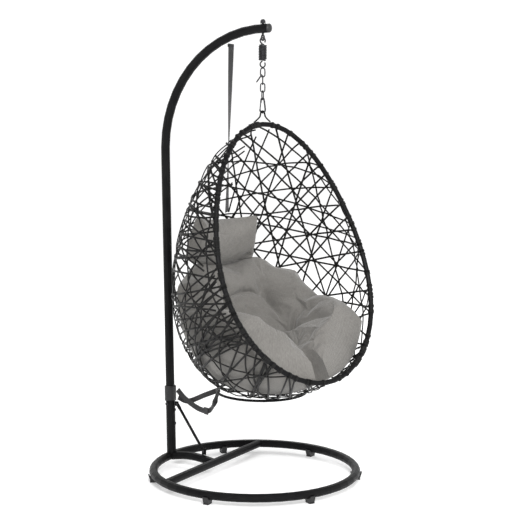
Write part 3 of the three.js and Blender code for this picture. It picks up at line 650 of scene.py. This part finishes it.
# The sewn lines of the seat pad, in the basket's frame: between the tufts and out to the edges.
SEAMS = (
    ((0.12, 0.16, 0.83), (-0.12, 0.16, 0.83)), ((0.12, -0.03, 0.68), (-0.12, -0.03, 0.68)),
    ((0.12, 0.16, 0.83), (0.12, -0.03, 0.68)), ((-0.12, 0.16, 0.83), (-0.12, -0.03, 0.68)),
    ((0.12, 0.16, 0.83), (0.13, 0.24, 0.98)), ((-0.12, 0.16, 0.83), (-0.13, 0.24, 0.98)),
    ((0.12, -0.03, 0.68), (0.33, 0.04, 0.80)), ((-0.12, -0.03, 0.68), (-0.33, 0.04, 0.80)),
    ((0.12, -0.03, 0.68), (0.31, -0.26, 0.67)), ((-0.12, -0.03, 0.68), (-0.31, -0.26, 0.67)),
)


def make_seat():
    base, top, edge = seat_grids()
    down = unit(base - top + 1e-9)
    depth = np.zeros(edge.shape)
    for a, b in SEAMS:
        gap, along = to_segment(top, a, b)
        depth = np.maximum(depth, bumped(gap, 0.024) * (0.042 - 0.022 * along))
    for tuft in TUFTS:
        gap = np.linalg.norm(top - np.array(tuft), axis=-1)
        depth += 0.060 * bumped(gap, 0.042)
    rng = np.random.default_rng(3)
    rows, columns = edge.shape
    pleats = np.zeros(edge.shape)
    for u in np.concatenate([np.linspace(0.10, 0.90, 17), np.linspace(0.2, 0.8, 9)]):
        u, low, high = u + rng.normal(0, 0.012), rng.uniform(0.52, 0.66), rng.uniform(0.72, 0.82)
        slant = rng.normal(0.035, 0.02)
        a = top[int(high * rows), int(u * columns)]
        b = top[int(low * rows), int(np.clip(u - slant, 0.02, 0.98) * columns)]
        gap, along = to_segment(top, a, b)
        width, deep = rng.uniform(0.007, 0.012), rng.uniform(0.009, 0.018)
        pleats = np.maximum(pleats, bumped(gap, width) * deep * (1 - 0.8 * along))
    depth += pleats
    room = np.linalg.norm(base - top, axis=-1)
    top = top + down * np.minimum(depth, room * 0.7)[..., None]
    cover, top_index, low_index = pad_mesh("seat_cushion_cover", to_row(base), to_row(top), 0.0065)
    held = [low_index.ravel()]
    flat = top.reshape(-1, 3)
    for tuft in TUFTS:
        nearest = np.linalg.norm(flat - np.array(tuft), axis=1).argsort()[:9]
        held.append(top_index.ravel()[nearest])
    swell(cover, np.concatenate(held), 3.0, 18, 0.030, extra=0.07)
    return cover


def make_pillow(columns=70, rows=54):
    u, v = np.meshgrid(np.linspace(0, 1, columns), np.linspace(0, 1, rows))
    t = PILLOW_T[0] + (PILLOW_T[1] - PILLOW_T[0]) * v
    phi = PILLOW_PHI[0] + (PILLOW_PHI[1] - PILLOW_PHI[0]) * u
    edge = np.minimum(np.minimum(u, 1 - u) * 0.38, np.minimum(v, 1 - v) * 0.24) / 0.035
    edge = np.clip(edge, 0, 1)
    round_ = np.sqrt(np.clip(1 - (1 - edge) ** 2, 0, 1))
    puff = (np.clip(np.sin(np.pi * u) * np.sin(np.pi * v), 0, 1)) ** 0.5
    middle = PILLOW_INSET + 0.030
    base = egg(t, phi, middle - round_ * 0.028)
    top = egg(t, phi, middle + round_ * 0.026 + puff * 0.030)
    cover, top_index, low_index = pad_mesh("head_pillow_cover", to_row(base), to_row(top), 0.0060)
    swell(cover, low_index[1:-1, 1:-1].ravel(), 3.0, 16, 0.012, extra=0.03)
    return cover


def finish_cushion(cover, node_name, cloth):
    cover.data.materials.append(cloth)
    cover.modifiers.new("smooth", "SUBSURF").render_levels = 1
    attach(cover, "basket")
    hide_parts(node_name)


# ------------------------------------------------------------------ webbing straps and the spring
CHAIN = ("stand", "spring_body", "upper_link", "middle_link", "lower_chain", "basket")
THREAD = 0.0007                               # a stitch's radius
SAFETY_WIDTH, TETHER_WIDTH, WEBBING_THICK = 0.028, 0.024, 0.002
COIL_RADIUS, HOOK_RADIUS, SPRING_WIRE = 0.01525, 0.0125, 0.0032


def ribbon(name, points, across, width, thick, columns=6):
    """A flat strap along the points. across holds its width direction at each point."""
    p, side = np.asarray(points, float), unit(np.asarray(across, float))
    ahead = unit(np.gradient(p, axis=0))
    side = unit(side - ahead * (side * ahead).sum(1, keepdims=True))
    face = np.cross(ahead, side)
    x = np.linspace(-0.5, 0.5, columns) * width
    ring = [(a, -thick / 2) for a in x] + [(a, thick / 2) for a in x[::-1]]
    verts = np.stack([p + side * a + face * b for a, b in ring], 1).reshape(-1, 3)
    n, m = len(p), len(ring)
    faces = []
    for k in range(n - 1):
        faces += [(k * m + i, k * m + (i + 1) % m, (k + 1) * m + (i + 1) % m, (k + 1) * m + i) for i in range(m)]
    faces += [tuple(range(m))[::-1], tuple((n - 1) * m + i for i in range(m))]
    run = np.concatenate([[0], np.cumsum(np.linalg.norm(np.diff(p, axis=0), axis=1))])
    attributes = {"along": np.repeat(run, m), "across": np.tile([a for a, _ in ring], n)}
    o = new_object(name, verts, faces, attributes)
    o.data.set_sharp_from_angle(angle=math.radians(50))
    face_points(o)
    return o


def hung_strap(name, points, across, width, thick, cloth, node_name):
    """A strap from the stand to the basket, cut into five lengths in a row."""
    p = resampled(points, 0.006)
    at, known = np.linspace(0, 1, len(p)), np.linspace(0, 1, len(across))
    side = np.stack([np.interp(at, known, np.asarray(across)[:, k]) for k in range(3)], 1)
    cuts = np.linspace(0, len(p) - 1, len(CHAIN)).round().astype(int)
    for k in range(len(CHAIN) - 1):
        a, b = cuts[k], cuts[k + 1]
        part = ribbon(f"{name}_{k + 1}", p[a:b + 1], side[a:b + 1], width, thick)
        part.data.materials.append(cloth)
        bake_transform(part)
        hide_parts(node_name)


def stitches(name, centre, along, across, size, body):
    """A sewn box with a cross in it, standing just proud of a strap's face."""
    along, across = unit(np.asarray(along, float)), unit(np.asarray(across, float))
    signs = ((-1, -1), (1, -1), (1, 1), (-1, 1))
    c = [np.asarray(centre) + along * a * size[0] / 2 + across * b * size[1] / 2 for a, b in signs]
    shape = Shape()
    for a, b in ((0, 1), (1, 2), (2, 3), (3, 0), (0, 2), (1, 3)):
        shape.tube(np.linspace(c[a], c[b], 5), THREAD, 6)
    o = shape.build(name)
    o.data.materials.append(moulded("thread_" + name, (0.05, 0.05, 0.05), (0.11, 0.11, 0.11), 0.7, 900.0))
    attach(o, body)


def make_safety_strap(cloth):
    top = np.array([0, 0.135, 1.938])
    foot = to_row(egg(np.array(0.27), np.array(math.pi / 2), np.array(-0.006))) + (0, 0, 0.004)
    line = np.linspace(top, foot, 60)
    turn = np.linspace(0, math.pi / 2, 60)
    across = np.stack([np.sin(turn), np.cos(turn), turn * 0], 1)
    hung_strap("safety_webbing", line, across, SAFETY_WIDTH, WEBBING_THICK, cloth, "safety_strap")
    stitches("safety_stitch_top", (0.0013, 0.135, 1.918), (0, 0, 1), (0, 1, 0), (0.03, 0.018), "stand")


def make_tether(cloth):
    start, end = np.array([-0.003, 0.4208, 0.338]), np.array([-0.0384, 0.1659, 0.405])
    upper = [
        start + (0, 0, 0.018), (-0.014, 0.372, 0.322), (-0.034, 0.29, 0.292), (-0.052, 0.222, 0.292),
        (-0.062, 0.186, 0.33), end + (0, 0.014, -0.024),
    ]
    lower = [
        start + (0.006, 0, -0.018), (0.005, 0.366, 0.308), (-0.014, 0.262, 0.354), end + (0.02, 0.016, -0.016),
    ]
    for name, path in (("upper", upper), ("lower", lower)):
        fine = smoothed(path)
        across = np.tile([0.25, 0, 1.0], (len(fine), 1))
        hung_strap(f"tether_{name}_webbing", fine, across, TETHER_WIDTH, WEBBING_THICK, cloth, f"tether_strap_{name}")


def make_tether_bands(cloth):
    """Two turns of webbing round the post, a little uneven."""
    low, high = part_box("tether_wrap")
    middle, radius, height = (low + high) / 2, (high.y - low.y) / 2, high.z - low.z
    a = np.linspace(0, 2 * np.pi, 73)[:-1]
    for k in range(2):
        z = middle.z + (k - 0.5) * height * 0.5 + 0.002 * np.sin(2 * a + k)
        r = radius - 0.0012 + 0.0006 * np.sin(5 * a + k)
        circle = np.stack([middle.x + r * np.cos(a), middle.y + r * np.sin(a), z], 1)
        circle = np.vstack([circle, circle[:1]])
        across = np.tile([0, 0, 1.0], (len(circle), 1))
        wrap = ribbon(f"tether_band_{k + 1}", circle, across, height * 0.5, WEBBING_THICK)
        wrap.data.materials.append(cloth)
        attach(wrap, "stand")
        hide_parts("tether_wrap")


def make_spring(zinc):
    turns, start, end = 10, 1.938, 1.869
    a = np.linspace(0, 2 * np.pi * turns, turns * 28)
    s = np.linspace(0, 1, len(a))
    pinch = 1 - 0.35 * np.clip(1 - np.minimum(s, 1 - s) / 0.06, 0, 1)
    x, y = HOOK.x + COIL_RADIUS * pinch * np.cos(a), HOOK.y + COIL_RADIUS * pinch * np.sin(a)
    coil = np.stack([x, y, start + (end - start) * s], 1)
    shape = Shape()
    shape.tube(coil, SPRING_WIRE, 10)
    o = shape.build("spring_coil")
    o.data.materials.append(zinc)
    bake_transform(o)
    ends = (("spring_hook_top", start, "spring_body", 1), ("spring_hook_foot", end, "upper_link", -1))
    b = np.linspace(-0.45 * np.pi, 1.2 * np.pi, 30)
    for name, z, body, sign in ends:
        hook = Shape()
        height = z + sign * 0.0165 + sign * HOOK_RADIUS * np.sin(b)
        hook.tube(np.stack([HOOK.x + 0 * b, HOOK.y + HOOK_RADIUS * np.cos(b), height], 1), SPRING_WIRE, 10)
        piece = hook.build(name)
        piece.data.materials.append(zinc)
        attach(piece, body)
        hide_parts("hanging_spring")


# ------------------------------------------------------------------ finishes of the CAD's own pieces
HARDWARE = (
    "brace_bolt", "post_bolt", "post_lock_bolt", "eye_", "chain_link", "spare_chain", "snap_hook", "strap_rivet",
    "hanging_spring",
)
PLASTIC = ("arch_end_cap", "foot_saddle", "tether_buckle")


def dress(node_name, o, finishes):
    if node_name.startswith(HARDWARE):
        finish, key = finishes["zinc"], "dark_hardware"
    elif node_name.startswith(PLASTIC):
        finish, key = finishes["plastic"], "black_plastic"
    elif node_name.startswith("foot_pad"):
        finish, key = finishes["rubber"], "black_rubber"
    else:
        finish, key = finishes["coat"], "powder_coat"
    o.data.materials.clear()
    o.data.materials.append(finish)
    o.data.polygons.foreach_set("use_smooth", np.ones(len(o.data.polygons), bool))
    o.data.set_sharp_from_angle(angle=math.radians(32))


def main():
    make_camera()
    make_studio()
    finishes = {
        "coat": powder_coat(),
        "zinc": zinc_black(),
        "plastic": moulded("black_plastic", (0.008, 0.008, 0.009), (0.016, 0.016, 0.017), 0.5, 700.0),
        "rubber": moulded("black_rubber", (0.012, 0.012, 0.012), (0.022, 0.022, 0.022), 0.8, 500.0),
    }
    for node_name, o in NODES.items():
        dress(node_name, o, finishes)
    make_cage(egg_tree(), rattan())
    strap = webbing()
    make_safety_strap(strap)
    make_tether(strap)
    make_tether_bands(strap)
    make_spring(finishes["zinc"])
    cloth = woven_cloth()
    finish_cushion(make_seat(), "seat_cushion", cloth)
    finish_cushion(make_pillow(), "head_pillow", cloth)


main()
